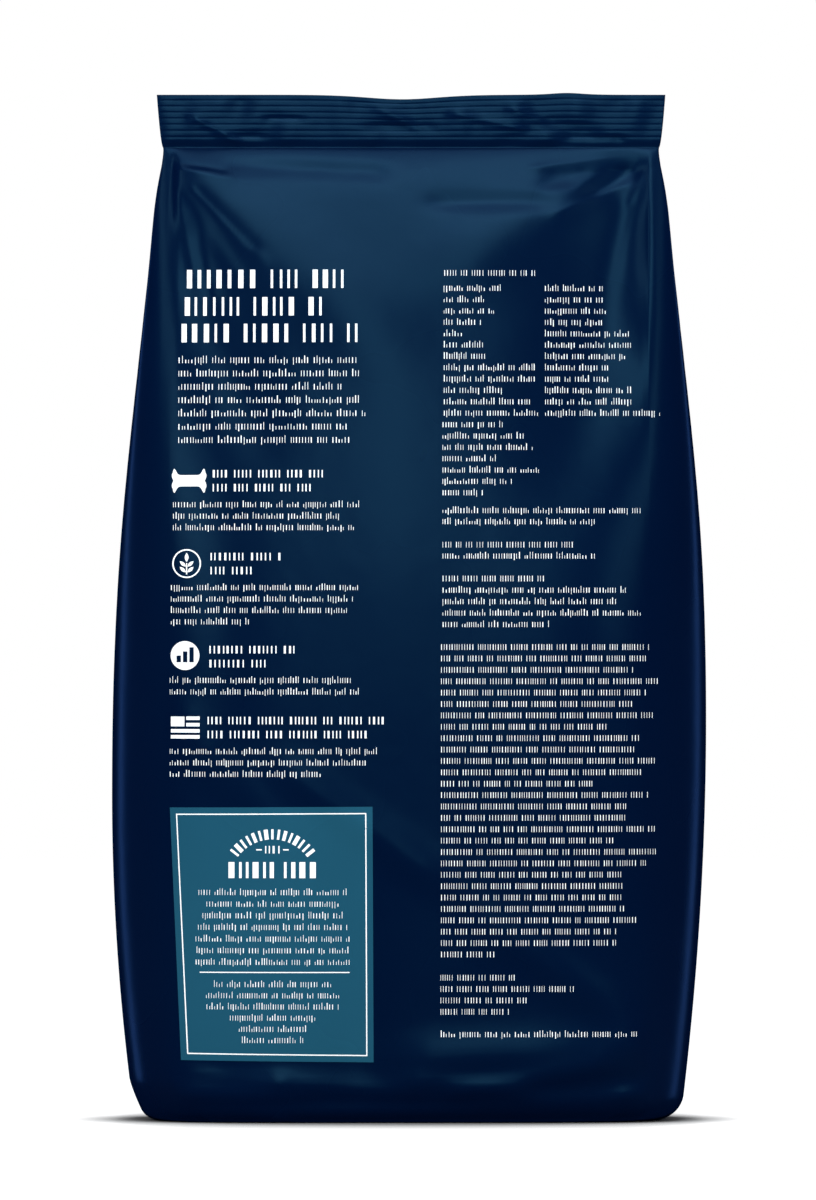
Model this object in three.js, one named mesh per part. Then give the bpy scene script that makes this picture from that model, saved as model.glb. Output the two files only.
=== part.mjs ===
// A side-gusset film pouch of dry pet food: filled, crimped shut across the top, standing on its folded base.
// Millimetres, +Z up. The printed panel faces -Y and the origin lies under the middle of the base.
// The sealed pouch can't be seen into, so it is one closed solid.
import * as THREE from "three";
import { ParametricGeometry } from "three/addons/geometries/ParametricGeometry.js";
import { mergeVertices } from "three/addons/utils/BufferGeometryUtils.js";

// Heights
const PINCH_HEIGHT = 378.7; // the line under the seal where the two panels meet
const STRIP_HEIGHT = 21.4; // the crimped strip, measured along the film
const LEFT_BELLY_HEIGHT = 128; // where the left side stands out furthest
const RIGHT_BELLY_HEIGHT = 158;

// Widths
const PINCH_WIDTH = 193.4;
const STRIP_FLARE = 2.5; // how far the strip's top corners stand out past the pinch
const BELLY_SWELL = 19.3; // how far each side swells out past the pinch
const LEFT_BASE_TUCK = 9; // how far the foot draws in from the belly
const RIGHT_BASE_TUCK = 10;
const FOLD_LINE_INSET = 3.2; // from the pinch's end in to the panel's vertical fold line
const SEAL_SHIFT = 0.8; // how far the seal has pulled over to the right of the base

// Depths
const BELLY_DEPTH = 110;
const BASE_DEPTH_TUCK = 5;
const STRIP_THICKNESS = 1.2;
const TAPER_DROP = 230; // below the pinch, the height over which the panels part to the full depth

// Form of a section, passing from the flat seal to the full belly over a height below the pinch
const SECTION_DROP = 190;
const PANEL_ARCH = { seal: 0.15, belly: 0.22 }; // share of the depth that a panel loses towards its fold lines
const PANEL_POWER = { seal: 2.5, belly: 5 }; // how far out the panel stays flat
const GUSSET_POWER = { seal: 6, belly: 2.8 }; // how flat the side stays before it turns into the panels

// Edges of the foot: both sides are rounded, and the left corner is folded off as well
const LEFT_FOOT_ROUND = 4;
const RIGHT_FOOT_ROUND = 11;
const FOOT_CUT = 5; // how far the fold at the left corner cuts in
const FOOT_CUT_HEIGHT = 16;

// Side gussets: pleats that open downwards from the pinch
const GUSSET_TUCK = 26; // depth of the pleat where it is deepest
const GUSSET_TUCK_DROP = 32; // how far below the pinch that is
const PLEAT_REACH = 0.78; // share of the side that the pleat takes up
const LIP_SPREAD = 2; // how far the pleat pushes its two lips out
const GUSSET_CREASE = 1.2; // depth of the crease that runs on down the middle of the side

// Fold lines of the panels
const CREASE_RISE = 0.9;
const CREASE_LENGTH = 190; // below the pinch, where the last of the crease fades out

// Crimp of the seal
const GROOVE_COUNT = 7;
const GROOVE_PITCH = 2.48;
const FIRST_GROOVE = 4.1; // from the pinch up to the lowest groove
const GROOVE_DEPTH = 0.45;

// Wave of the seal's free edge, as distances towards the rear
const EDGE_LEAN = 5.5;
const EDGE_CURL = 4.5;
const CURL_PLACE = -3.5; // from the middle, to the right
const CURL_SPREAD = 22;
const TURN_PLACE = 60.8; // where the edge crosses over from leaning back to leaning forward
const TURN_SPREAD = 8;

// Bottom fin, folded flat under the base
const FIN_WIDTH = 24;
const FIN_MARGIN = 14; // from the fin's end to the edge of the flat base
const FIN_GAP = 1.6;
const FIN_GAP_DEPTH = 0.9;

// Folds pulled into a panel by the seal. Each runs from a head to a foot: "inward" is the distance from
// the fold line of its side, "drop" the distance below the pinch. A negative rise is a hollow.
const PULLED_FOLDS = [
  { side: -1, head: { inward: 7, drop: 14 }, foot: { inward: 37, drop: 42 }, width: 7, rise: 2.2 },
  { side: -1, head: { inward: 3, drop: 22 }, foot: { inward: 11, drop: 52 }, width: 6, rise: -1.6 },
  { side: 1, head: { inward: 2, drop: 6 }, foot: { inward: 48, drop: 44 }, width: 7, rise: 2.6 },
  { side: 1, head: { inward: 22, drop: 28 }, foot: { inward: 30, drop: 48 }, width: 11, rise: -2.4 },
  { side: 1, head: { inward: 6, drop: 12 }, foot: { inward: 17, drop: 58 }, width: 6, rise: 1.8 },
  { side: 1, head: { inward: 42, drop: 21 }, foot: { inward: 70, drop: 23 }, width: 6, rise: -1.6 },
];

// Fineness of the surface
const PANEL_COLUMNS = 28;
const GUSSET_COLUMNS = 10;
const ROUND_ROWS = 5;
const BODY_ROWS = 38;
const ROW_CROWDING = 1.5; // rows lie closer together towards the pinch

const FILM_COLOUR = 0x0b2442;

// Worked out from the sizes above
const foldLine = PINCH_WIDTH / 2 - FOLD_LINE_INSET;
const stripHalf = STRIP_THICKNESS / 2;
const bellyHalfDepth = BELLY_DEPTH / 2;
const bellyHalfWidth = PINCH_WIDTH / 2 + BELLY_SWELL;

const mix = THREE.MathUtils.lerp;
const share = THREE.MathUtils.clamp;

// Half width of one side at a height: a quarter wave from the belly up to the pinch, a parabola down to the foot.
function sideHalfWidth(z, belly, tuck) {
  if (z > belly) {
    const climb = (z - belly) / (PINCH_HEIGHT - belly);
    return PINCH_WIDTH / 2 + BELLY_SWELL * Math.cos((Math.PI / 2) * climb ** 1.12);
  }
  return bellyHalfWidth - tuck * ((belly - z) / belly) ** 2;
}

// How far the pleat has opened at a drop below the pinch: up quickly to 1 and slowly away again.
function pleatWave(drop) {
  const opened = drop / GUSSET_TUCK_DROP;
  return opened * Math.exp(1 - opened);
}

// Half width of the whole section, passing smoothly from the left side (a = -1) to the right (a = 1).
function halfWidth(z, a) {
  const left = sideHalfWidth(z, LEFT_BELLY_HEIGHT, LEFT_BASE_TUCK);
  const right = sideHalfWidth(z, RIGHT_BELLY_HEIGHT, RIGHT_BASE_TUCK);
  return mix(left, right, (a + 1) / 2) + LIP_SPREAD * pleatWave(PINCH_HEIGHT - z);
}

// Half depth at a height: flat at the pinch, full at the belly, drawn in a little at the foot.
function halfDepth(z) {
  const opened = share((PINCH_HEIGHT - z) / TAPER_DROP, 0, 1);
  const above = stripHalf + (bellyHalfDepth - stripHalf) * Math.sin((Math.PI / 2) * opened ** 0.8);
  const belly = (LEFT_BELLY_HEIGHT + RIGHT_BELLY_HEIGHT) / 2;
  const sunk = share((belly - z) / belly, 0, 1);
  return above - BASE_DEPTH_TUCK * sunk ** 2;
}

// How far the foot has drawn in at a height: a quarter round, and the cut that fades out towards the right.
function footInset(z, a) {
  const radius = mix(LEFT_FOOT_ROUND, RIGHT_FOOT_ROUND, (a + 1) / 2);
  const below = share(radius - z, 0, radius);
  const cut = mix(FOOT_CUT, 0, (a + 1) / 2) * share(1 - z / FOOT_CUT_HEIGHT, 0, 1) ** 1.3;
  return radius - Math.sqrt(radius * radius - below * below) + cut;
}

// A place (a, b) on the edge of the square from -1 to 1, carried onto a section of the given half sizes.
// The panels arch between the fold lines, which lie at "corner" across the width, and the sides bulge past them.
function onSection(a, b, width, depth, corner, drop) {
  const filled = share(drop / SECTION_DROP, 0, 1);
  const between = ({ seal, belly }) => mix(seal, belly, filled);
  const bulge = (width - corner) * (1 - Math.abs(b) ** between(GUSSET_POWER));
  const arch = between(PANEL_ARCH) * Math.abs(a) ** between(PANEL_POWER);
  return { x: a * (corner + bulge), y: b * depth * (1 - arch) };
}

// Height of one pulled fold at a place on the panel: a bell across the fold, fading out at its two ends.
function foldHeight(fold, x, drop) {
  const head = new THREE.Vector2(fold.side * (foldLine - fold.head.inward), fold.head.drop);
  const foot = new THREE.Vector2(fold.side * (foldLine - fold.foot.inward), fold.foot.drop);
  const run = foot.clone().sub(head);
  const reach = new THREE.Vector2(x, drop).sub(head);
  const along = reach.dot(run) / run.lengthSq();
  const across = reach.cross(run) / run.length();
  const beyond = Math.max(0, -along, along - 1) * run.length();
  return fold.rise * Math.exp(-((across / fold.width) ** 2) - (beyond / fold.width) ** 2);
}

// The filled body at a height.
function bodyPoint(a, b, z) {
  const drop = PINCH_HEIGHT - z;
  const inset = footInset(z, a);
  const { x, y } = onSection(a, b, halfWidth(z, a) - inset, halfDepth(z) - inset, foldLine - inset, drop);
  const onPanel = Math.abs(b) === 1;
  const onCorner = onPanel && Math.abs(a) === 1;
  const eased = share(drop / GUSSET_TUCK_DROP, 0, 1);
  const tuck = GUSSET_TUCK * pleatWave(drop) ** 1.3;
  const pleat = tuck * Math.max(0, 1 - Math.abs(b) / PLEAT_REACH) ** 1.8;
  const valley = b === 0 ? GUSSET_CREASE * eased : 0;
  const crease = onCorner ? CREASE_RISE * share(1 - drop / CREASE_LENGTH, 0, 1) * eased : 0;
  // The rear panel has the same folds turned half round.
  const folds = PULLED_FOLDS.reduce((sum, fold) => sum + foldHeight(fold, -b * x, drop), 0);
  const calm = eased * (1 - Math.abs(a) ** 8);
  const swell = onPanel ? folds * calm : 0;
  const shift = SEAL_SHIFT * (z / PINCH_HEIGHT) ** 3;
  const inward = onPanel ? 0 : pleat + valley;
  return new THREE.Vector3(x + shift - a * inward + a * crease, y + b * (swell + crease), z);
}

// How far the free edge of the seal leans back at a place across the width.
function edgeLean(x) {
  const curl = EDGE_CURL * Math.exp(-(((x - CURL_PLACE) / CURL_SPREAD) ** 2));
  const turned = (1 + Math.tanh((x - TURN_PLACE) / TURN_SPREAD)) / 2;
  return EDGE_LEAN + curl - 2 * EDGE_LEAN * turned;
}

// The crimped strip at a height above the pinch, measured along the film. "press" pushes it to the rear.
function stripPoint(a, b, climb, press = 0, thickness = STRIP_THICKNESS) {
  const risen = climb / STRIP_HEIGHT;
  const width = PINCH_WIDTH / 2 + STRIP_FLARE * risen ** 0.6;
  const { x, y } = onSection(a, b, width, thickness / 2, foldLine, 0);
  const lean = edgeLean(x);
  const sunk = STRIP_HEIGHT - Math.sqrt(STRIP_HEIGHT ** 2 - lean ** 2);
  const z = PINCH_HEIGHT + climb - sunk * risen ** 2;
  return new THREE.Vector3(x + SEAL_SHIFT, y + press + lean * risen ** 1.5, z);
}

// A loop of the underside that outlines the folded fin, grown by a margin.
function finPoint(a, b, grown, height) {
  const length = halfWidth(0, a) - footInset(0, a) - FIN_MARGIN + grown;
  return new THREE.Vector3(length * a, (FIN_WIDTH / 2 + grown) * b, height);
}

// Every row of the surface, from the middle of the base up, over the seal and shut along its top edge.
function rows() {
  const underside = [
    (a) => finPoint(a, 0, -FIN_WIDTH / 2, 0),
    (a, b) => finPoint(a, b, 0, 0),
    (a, b) => finPoint(a, b, FIN_GAP / 2, FIN_GAP_DEPTH),
    (a, b) => finPoint(a, b, FIN_GAP, 0),
  ];
  const round = Array.from({ length: ROUND_ROWS }, (_, i) => {
    const turn = (Math.PI / 2) * (i / ROUND_ROWS);
    return (a, b) => bodyPoint(a, b, FOOT_CUT_HEIGHT * (1 - Math.cos(turn)));
  });
  const body = Array.from({ length: BODY_ROWS }, (_, i) => {
    const drop = (PINCH_HEIGHT - FOOT_CUT_HEIGHT) * (1 - i / BODY_ROWS) ** ROW_CROWDING;
    return (a, b) => bodyPoint(a, b, PINCH_HEIGHT - drop);
  });
  const strip = [(a, b) => stripPoint(a, b, 0)];
  for (let i = 0; i < GROOVE_COUNT; i += 1) {
    const groove = FIRST_GROOVE + i * GROOVE_PITCH;
    strip.push((a, b) => stripPoint(a, b, groove - GROOVE_PITCH / 2));
    strip.push((a, b) => stripPoint(a, b, groove, GROOVE_DEPTH));
  }
  strip.push((a, b) => stripPoint(a, b, STRIP_HEIGHT));
  const shut = [(a, b) => stripPoint(a, b, STRIP_HEIGHT, 0, 0)];
  return [...underside, ...round, ...body, ...strip, ...shut];
}

// Every column of the surface, as places on the edge of the square from -1 to 1, front panel first.
function columns() {
  const spaced = (count) => Array.from({ length: count }, (_, i) => (2 * i) / count - 1);
  return [
    ...spaced(PANEL_COLUMNS).map((a) => [a, -1]),
    ...spaced(GUSSET_COLUMNS).map((b) => [1, b]),
    ...spaced(PANEL_COLUMNS).map((a) => [-a, 1]),
    ...spaced(GUSSET_COLUMNS).map((b) => [-1, -b]),
  ];
}

// Drops the triangles whose corners fell together where the surface closes on a line.
function withoutCollapsed(geometry) {
  const index = Array.from(geometry.index.array);
  const kept = [];
  for (let i = 0; i < index.length; i += 3) {
    const [p, q, r] = index.slice(i, i + 3);
    if (p !== q && q !== r && r !== p) kept.push(p, q, r);
  }
  geometry.setIndex(kept);
  return geometry;
}

function pouchGeometry() {
  const courses = rows();
  const places = columns();
  const skin = (u, v, target) => {
    const course = courses[Math.round(v * (courses.length - 1))];
    const [a, b] = places[Math.round(u * places.length) % places.length];
    target.copy(course(a, b));
  };
  const grid = new ParametricGeometry(skin, places.length, courses.length - 1);
  grid.deleteAttribute("normal");
  grid.deleteAttribute("uv");
  return withoutCollapsed(mergeVertices(grid, 1e-3));
}

const film = new THREE.MeshStandardMaterial({ color: FILM_COLOUR, roughness: 0.34, metalness: 0 });
const pouch = new THREE.Mesh(pouchGeometry(), film);
pouch.name = "filled_pouch";

const bag = new THREE.Group();
bag.add(pouch);

export default bag;
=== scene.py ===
"""A side-gusset film pouch of dry pet food: filled, crimped shut across the top, standing on its folded base.

Shapes are worked out in millimetres and go into their meshes in metres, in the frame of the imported
model: +Z up, the printed panel facing -Y, the origin under the middle of the base.
"""
import logging
import math
from dataclasses import dataclass
from enum import Enum
from typing import Any

import bpy
import numpy as np
from bpy.types import Material, NodeSocket, NodeTree, Object, bpy_prop_collection
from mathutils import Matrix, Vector


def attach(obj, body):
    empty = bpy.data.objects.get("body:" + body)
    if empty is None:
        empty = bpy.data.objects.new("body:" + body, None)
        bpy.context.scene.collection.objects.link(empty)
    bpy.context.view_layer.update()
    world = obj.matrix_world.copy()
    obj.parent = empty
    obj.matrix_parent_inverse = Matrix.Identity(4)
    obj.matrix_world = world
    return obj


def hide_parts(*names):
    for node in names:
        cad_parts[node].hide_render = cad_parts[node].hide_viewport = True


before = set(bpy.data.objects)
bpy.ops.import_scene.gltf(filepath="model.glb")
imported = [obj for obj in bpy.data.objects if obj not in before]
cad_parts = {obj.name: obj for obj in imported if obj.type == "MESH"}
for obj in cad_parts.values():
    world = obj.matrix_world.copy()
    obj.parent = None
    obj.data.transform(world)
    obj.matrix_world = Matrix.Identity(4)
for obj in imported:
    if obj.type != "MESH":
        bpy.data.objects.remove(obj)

Array = np.ndarray
Pair = tuple[float, float]
Four = tuple[float, float, float, float]
LOG = logging.getLogger("pouch")
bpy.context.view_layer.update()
MM = 0.001  # metres in a millimetre
WHITE = (1.0, 1.0, 1.0, 1.0)


def mix(start: Any, end: Any, share: Any) -> Any:
    """The value at a share of the way from a start to an end, for numbers or arrays."""
    return start + (end - start) * share


def clamp(value: Array) -> Array:
    """Values held between 0 and 1."""
    return np.clip(value, 0, 1)


class FoldShape(Enum):
    """How the film stands across a fold."""

    BELL = "bell"  # a soft swelling or hollow
    CREST = "crest"  # a sharp line with straight flanks
    SHELF = "shelf"  # steep on one flank and long on the other


CREST_ROUND = 0.2  # how far a crest is rounded, in widths
SHELF_FLANKS = (3.0, 0.5)  # lengths of a shelf's long and steep flank, in widths


@dataclass(frozen=True)
class Fold:
    """One fold of a panel, from a head to a foot.

    Each end is the distance from the panel's middle to the right and the drop below the pinch. A
    negative rise is a hollow.
    """

    head: Pair
    foot: Pair
    width: float
    rise: float
    shape: FoldShape = FoldShape.BELL

    def height(self, x: Array, drop: Array) -> Array:
        """Height of the fold over the panel.

        With "across" the distance from the fold's line and "beyond" the distance past its ends, both in
        widths, the height is the rise times exp(-across^2) for a bell, exp(-|across|) with a rounded tip
        for a crest, or exp(-|across| / flank), with one flank longer than the other, for a shelf, and
        every one of them times exp(-(beyond / 2)^2).

        Args:
            x: Distances from the panel's middle, to the right.
            drop: Distances below the pinch.

        Returns:
            How far the film stands out at each place.
        """
        run = np.subtract(self.foot, self.head)
        length = float(np.hypot(*run))
        along = ((x - self.head[0]) * run[0] + (drop - self.head[1]) * run[1]) / length
        across = ((x - self.head[0]) * run[1] - (drop - self.head[1]) * run[0]) / (length * self.width)
        beyond = np.maximum(0, np.maximum(-along, along - length)) / (self.width * 2)
        if self.shape is FoldShape.BELL:
            profile = np.exp(-(across**2))
        elif self.shape is FoldShape.CREST:
            profile = np.exp(CREST_ROUND - np.hypot(across, CREST_ROUND))
        else:
            profile = np.exp(-np.abs(across) / np.where(across > 0, *SHELF_FLANKS))
        return self.rise * profile * np.exp(-(beyond**2))


CREST, SHELF = FoldShape.CREST, FoldShape.SHELF

# Folds that the seal pulls into a panel at its top left, from the fold line inwards.
TOP_LEFT_FOLDS = (
    Fold((-82, 17), (-32, 58), 18, 2.6),
    Fold((-92, 5.6), (-74, 8.8), 1.4, -0.5, CREST),
    Fold((-90, 8.4), (-72, 11.6), 1.8, 0.4, CREST),
    Fold((-68, 6.5), (-16, 9.5), 4.0, -0.7),
    Fold((-84, 18), (-60, 42), 2.6, 0.5),
    Fold((-83, 16.5), (-61, 39), 1.1, -0.25, CREST),
    Fold((-81, 20), (-63, 38), 3.2, -0.5),
    Fold((-86, 22), (-69, 48), 4.0, -0.6),
    Fold((-91.5, 18), (-84.5, 48), 2.0, 0.4, CREST),
    Fold((-81, 38), (-77, 56), 3.4, -0.6),
    Fold((-88, 38), (-64, 98), 12, -1.5),
)

# Folds at its top right.
TOP_RIGHT_FOLDS = (
    Fold((80, 14), (30, 38), 15, 2.6),
    Fold((92, 2.4), (50, 7.6), 2.2, 0.6, CREST),
    Fold((91, 6.5), (74, 16), 4.4, -1.4),
    Fold((66, 9.8), (58, 10.4), 3.0, -0.7),
    Fold((61, 13.6), (55, 14.2), 2.6, -0.6),
    Fold((14, 21.5), (48, 21.5), 3.6, -0.8),
    Fold((82, 15.5), (58, 25.5), 2.2, 0.6, CREST),
    Fold((84, 10), (77, 56), 11, -1.3),
    Fold((86, 28), (67, 106), 20, -2.6),
    Fold((76, 16), (64, 72), 30, -2.2),
    Fold((92, 6), (86, 20), 1.8, 0.4, CREST),
    Fold((88, 18), (80, 50), 2.6, 0.22, CREST),
)

# Soft waves of the filled panel, further down.
BELLY_FOLDS = (
    Fold((-8, 60), (-6, 160), 26, 1.2),
    Fold((-41, 247), (4, 279), 7, 1.5),
    Fold((44, 309), (80, 336), 8, 1.6),
    Fold((12, 354), (84, 350), 8.5, 2.5),
    Fold((-88, 226), (-62, 252), 9, 0.9),
    Fold((-22, 290), (-20, 340), 14, -1.5),
    Fold((24, 236), (30, 300), 9, 0.7),
)

# Creases of the foot, where the film is folded under.
FOOT_FOLDS = (
    Fold((-92, 369), (-56, 368), 7, 2.2),
    Fold((-84, 359), (-50, 362), 2.4, 0.5),
    Fold((4, 362.5), (40, 366), 4.2, 1.6),
    Fold((20, 367), (70, 357), 4.4, 1.5),
    Fold((84, 368), (101, 365), 3.6, 1.1),
    Fold((30, 371), (88, 368), 2.6, 0.5),
    Fold((-50, 363), (2, 367), 4, 1.1),
    Fold((48, 362), (98, 357), 2.6, 0.5, SHELF),
    Fold((-80, 371), (20, 372), 2.2, -0.5, CREST),
)

# Puckers that the jaws pressed into the seal. Here "drop" is the climb above the pinch.
SEAL_PUCKERS = (
    Fold((-83.5, 11), (-68.5, 3), 1.5, 0.7, CREST),
    Fold((-67, 4.6), (-60.5, 4.8), 1.6, -0.7),
    Fold((-53.5, 11.8), (-45, 11.6), 1.6, -0.6),
    Fold((-10, 15), (2.5, 7.8), 1.8, 0.9, CREST),
    Fold((-13, 8.6), (4, 8.4), 2.6, -0.9),
    Fold((17.5, 13.8), (41, 7.8), 1.7, 0.8, CREST),
    Fold((41, 15), (49.5, 11), 1.5, 0.7, CREST),
    Fold((56, 9), (66, 7.5), 3.2, -0.9),
    Fold((63, 4.4), (80, 3.4), 1.8, -0.7),
)


@dataclass(frozen=True)
class PouchForm:
    """The filled pouch as one surface. Sizes in millimetres.

    A column of the surface is a place (a, b) on the edge of the square from -1 to 1: b = -1 is the
    printed panel and a = 1 the right gusset. A row is a height on the body or a climb up the seal.
    """

    pinch_height: float = 378.7  # the line under the seal where the two panels meet
    strip_height: float = 21.4  # the crimped strip, measured along the film
    belly_heights: Pair = (128, 158)  # where the left and right side stand out furthest
    pinch_width: float = 193.4
    strip_flare: float = 2.5
    belly_swell: float = 19.3
    swell_power: float = 1.12
    base_tucks: Pair = (9, 10)
    fold_line_inset: float = 3.2
    seal_shift: float = 0.8  # how far the seal has pulled over to the right
    shift_power: float = 3
    belly_depth: float = 110
    base_depth_tuck: float = 5
    strip_thickness: float = 1.2
    taper_drop: float = 230
    taper_power: float = 0.8
    section_drop: float = 190
    panel_arch: Pair = (0.15, 0.22)  # at the seal, at the belly
    panel_power: Pair = (2.5, 5)
    gusset_power: Pair = (6, 2.8)
    foot_rounds: Pair = (4, 9.5)
    foot_cut: float = 4.4
    foot_cut_height: float = 16
    panel_cut_share: float = 0.25
    gusset_tuck: float = 26
    gusset_tuck_drop: float = 32
    pleat_reach: float = 0.78
    pleat_powers: Pair = (1.3, 1.8)  # down the gusset, across it
    ridge_drop: float = 118  # where the two ridges of a gusset meet
    ridge_width: float = 3.2
    ridge_rise: float = 0.6
    ridge_start: float = 24
    ridge_overrun: float = 0.15  # share of the drop over which they run out past that point
    ridge_calm: float = 6  # power of |b| by which they end at the fold lines
    lip_spread: float = 1
    valley_depth: float = 1.6
    valley_width: float = 3.0
    corner_cut: float = 0.8  # how far the fold lines are chamfered near the seal
    corner_width: float = 3.4
    corner_start: float = 8  # length below the pinch over which the chamfer sets in
    corner_length: float = 135
    corner_least: float = 0.1  # share of the chamfer that stays below that length
    corner_power: float = 1.3
    calm_drop: float = 9  # folds fade out over this length under the pinch
    calm_foot: Pair = (2, 8)  # and here above the floor
    calm_power: float = 24  # and by this power of |a| at the fold lines
    groove_count: int = 7
    groove_pitch: float = 2.48
    first_groove: float = 4.1
    groove_depth: float = 0.22
    groove_power: float = 8
    pinch_step: float = 0.8  # how far the strip stands forward of the line where the panels part
    pinch_reach: float = 2.2
    crumple_seed: int = 5
    crumple_waves: int = 9
    crumple_lengths: Pair = (7, 26)
    crumple_turn: float = 0.9
    crumple_rise: float = 0.07
    flare_power: float = 0.6
    edge_calm: float = 3  # puckers fade out over this length at both edges of the seal
    lean_back: float = 2.4  # how far the free edge leans back
    lean_power: float = 1.5
    edge_lean: float = 5.5  # lean that shortens the seal as seen from the front
    edge_curl: float = 4.5
    curl_place: float = -3.5
    curl_spread: float = 22
    turn_place: float = 60.8
    turn_spread: float = 8
    fin_width: float = 24
    fin_margin: float = 12
    fin_bow: float = 2  # how far the fin's ends are rounded out
    fin_gap: float = 1.6
    fin_gap_depth: float = 0.9
    past_range: Pair = (0.01, 0.9999)  # keeps ink that reaches a gusset short of both its edges

    @property
    def fold_line(self) -> float:
        """Distance from the middle of a panel to its vertical fold line."""
        return self.pinch_width / 2 - self.fold_line_inset

    def side_half_width(self, z: Array, belly: float, tuck: float) -> Array:
        """Half width of one side: a quarter wave from the belly to the pinch, a parabola to the foot.

        Args:
            z: Heights.
            belly: Height of the widest place.
            tuck: How far the foot draws in.

        Returns:
            The half width at each height.
        """
        climb = clamp((z - belly) / (self.pinch_height - belly))
        above = self.pinch_width / 2 + self.belly_swell * np.cos(math.pi / 2 * climb**self.swell_power)
        below = self.pinch_width / 2 + self.belly_swell - tuck * ((belly - z) / belly) ** 2
        return np.where(z > belly, above, below)

    def pleat_wave(self, drop: Array) -> Array:
        """Opening of the side pleats: q exp(1 - q), with q the drop over the drop of the deepest place."""
        opened = np.maximum(drop, 0) / self.gusset_tuck_drop
        return opened * np.exp(1 - opened)

    def half_width(self, z: Array, a: Array) -> Array:
        """Half width of the whole section, passing evenly from the left side to the right."""
        sides = (self.side_half_width(z, *side) for side in zip(self.belly_heights, self.base_tucks))
        return mix(*sides, (a + 1) / 2) + self.lip_spread * self.pleat_wave(self.pinch_height - z)

    def half_depth(self, z: Array) -> Array:
        """Half depth: a sine from the flat pinch to the full belly, drawn in at the foot.

        Args:
            z: Heights.

        Returns:
            The half depth at each height, less a parabola below the belly.
        """
        opened = clamp((self.pinch_height - z) / self.taper_drop)
        wave = np.sin(math.pi / 2 * opened**self.taper_power)
        belly = sum(self.belly_heights) / 2
        tuck = self.base_depth_tuck * clamp((belly - z) / belly) ** 2
        return mix(self.strip_thickness / 2, self.belly_depth / 2, wave) - tuck

    def foot_inset(self, z: Array, a: Array, share: float = 1) -> Array:
        """How far the foot draws in.

        Args:
            z: Heights.
            a: Places across the panels, -1 to 1.
            share: Share of the cut that applies.

        Returns:
            A quarter round, and a share of a cut that fades out towards the right.
        """
        radius = mix(*self.foot_rounds, (a + 1) / 2)
        below = np.clip(radius - z, 0, radius)
        cut = self.foot_cut * (1 - a) / 2 * clamp(1 - z / self.foot_cut_height) ** self.corner_power
        return radius - np.sqrt(radius**2 - below**2) + share * cut

    def section(
        self, a: Array, b: Array, width: Array, depth: Array, corner: Array, drop: Array
    ) -> tuple[Array, Array]:
        """Carries a place (a, b) of the square onto a section.

        x = a (corner + (width - corner) (1 - |b|^p)) and y = b depth (1 - arch |a|^q), where p, q and
        arch pass from the flat seal to the full belly.

        Args:
            a: Places across the panels, -1 to 1.
            b: Places across the gussets, -1 to 1.
            width: Half widths.
            depth: Half depths.
            corner: Distances of the fold lines from the middle.
            drop: Distances below the pinch.

        Returns:
            The x and y of each place.
        """
        filled = clamp(drop / self.section_drop)
        arch, panel, gusset = (mix(*ends, filled) for ends in (self.panel_arch, self.panel_power, self.gusset_power))
        bulge = (width - corner) * (1 - np.abs(b) ** gusset)
        return a * (corner + bulge), b * depth * (1 - arch * np.abs(a) ** panel)

    def pulled(self, z: Array) -> Array:
        """How far the section at a height is pulled to the right."""
        return self.seal_shift * (z / self.pinch_height) ** self.shift_power

    def panel_folds(self, x: Array, drop: Array) -> Array:
        """Sum of all folds of a panel at each place."""
        folds = TOP_LEFT_FOLDS + TOP_RIGHT_FOLDS + BELLY_FOLDS + FOOT_FOLDS
        return sum(fold.height(x, drop) for fold in folds)

    def gusset_folds(self, b: Array, depth: Array, drop: Array) -> Array:
        """Two ridges of a gusset, from the lips of its pleat down to one point in its middle.

        Each is a bell across its line, and the line runs straight from |b| = reach at the pinch to
        b = 0 at the point.

        Args:
            b: Places across the gusset, -1 to 1.
            depth: Half depths.
            drop: Distances below the pinch.

        Returns:
            How far the gusset stands out at each place.
        """
        line = self.pleat_reach * (1 - drop / self.ridge_drop)
        across = (np.abs(b) - line) * depth / self.ridge_width
        fading = clamp(1 + self.ridge_overrun - drop / self.ridge_drop) * clamp(drop / self.ridge_start)
        return self.ridge_rise * np.exp(-(across**2)) * fading

    def body(self, a: Array, b: Array, z: Array) -> Array:
        """The filled body.

        A gusset is the section drawn in by its pleat, which is deepest in the middle, and by a narrow
        valley, exp(-distance / width), down its centre line. The fold lines are chamfered by
        (1 - distance / width)^p. The folds of a panel stand on it, but for its edges.

        Args:
            a: Places across the panels, -1 to 1.
            b: Places across the gussets, -1 to 1.
            z: Heights.

        Returns:
            Points, with x, y and z along the last axis.
        """
        a, b, z = np.broadcast_arrays(a, b, z)
        drop = self.pinch_height - z
        inset = self.foot_inset(z, a)
        depth = self.half_depth(z) - self.foot_inset(z, a, self.panel_cut_share)
        x, y = self.section(a, b, self.half_width(z, a) - inset, depth, self.fold_line - inset, drop)
        eased = clamp(drop / self.gusset_tuck_drop)
        on_panel = np.abs(b) == 1
        reach = clamp(1 - np.abs(b) / self.pleat_reach)
        down, across = self.pleat_powers
        pleat = self.gusset_tuck * self.pleat_wave(drop) ** down * reach**across
        valley = self.valley_depth * eased * np.exp(-np.abs(b) * depth / self.valley_width)
        ridges = self.gusset_folds(b, depth, drop) * (1 - np.abs(b) ** self.ridge_calm)
        inward = np.where(on_panel, 0, pleat + valley - ridges)
        from_corner = np.where(on_panel, (1 - np.abs(a)) * self.fold_line, (1 - np.abs(b)) * depth)
        fading = clamp(drop / self.corner_start) * np.clip(1 - drop / self.corner_length, self.corner_least, 1)
        cut = self.corner_cut * fading * clamp(1 - from_corner / self.corner_width) ** self.corner_power
        foot, over_foot = self.calm_foot
        calm = clamp(drop / self.calm_drop) * (1 - np.abs(a) ** self.calm_power) * clamp((z - foot) / over_foot)
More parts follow.
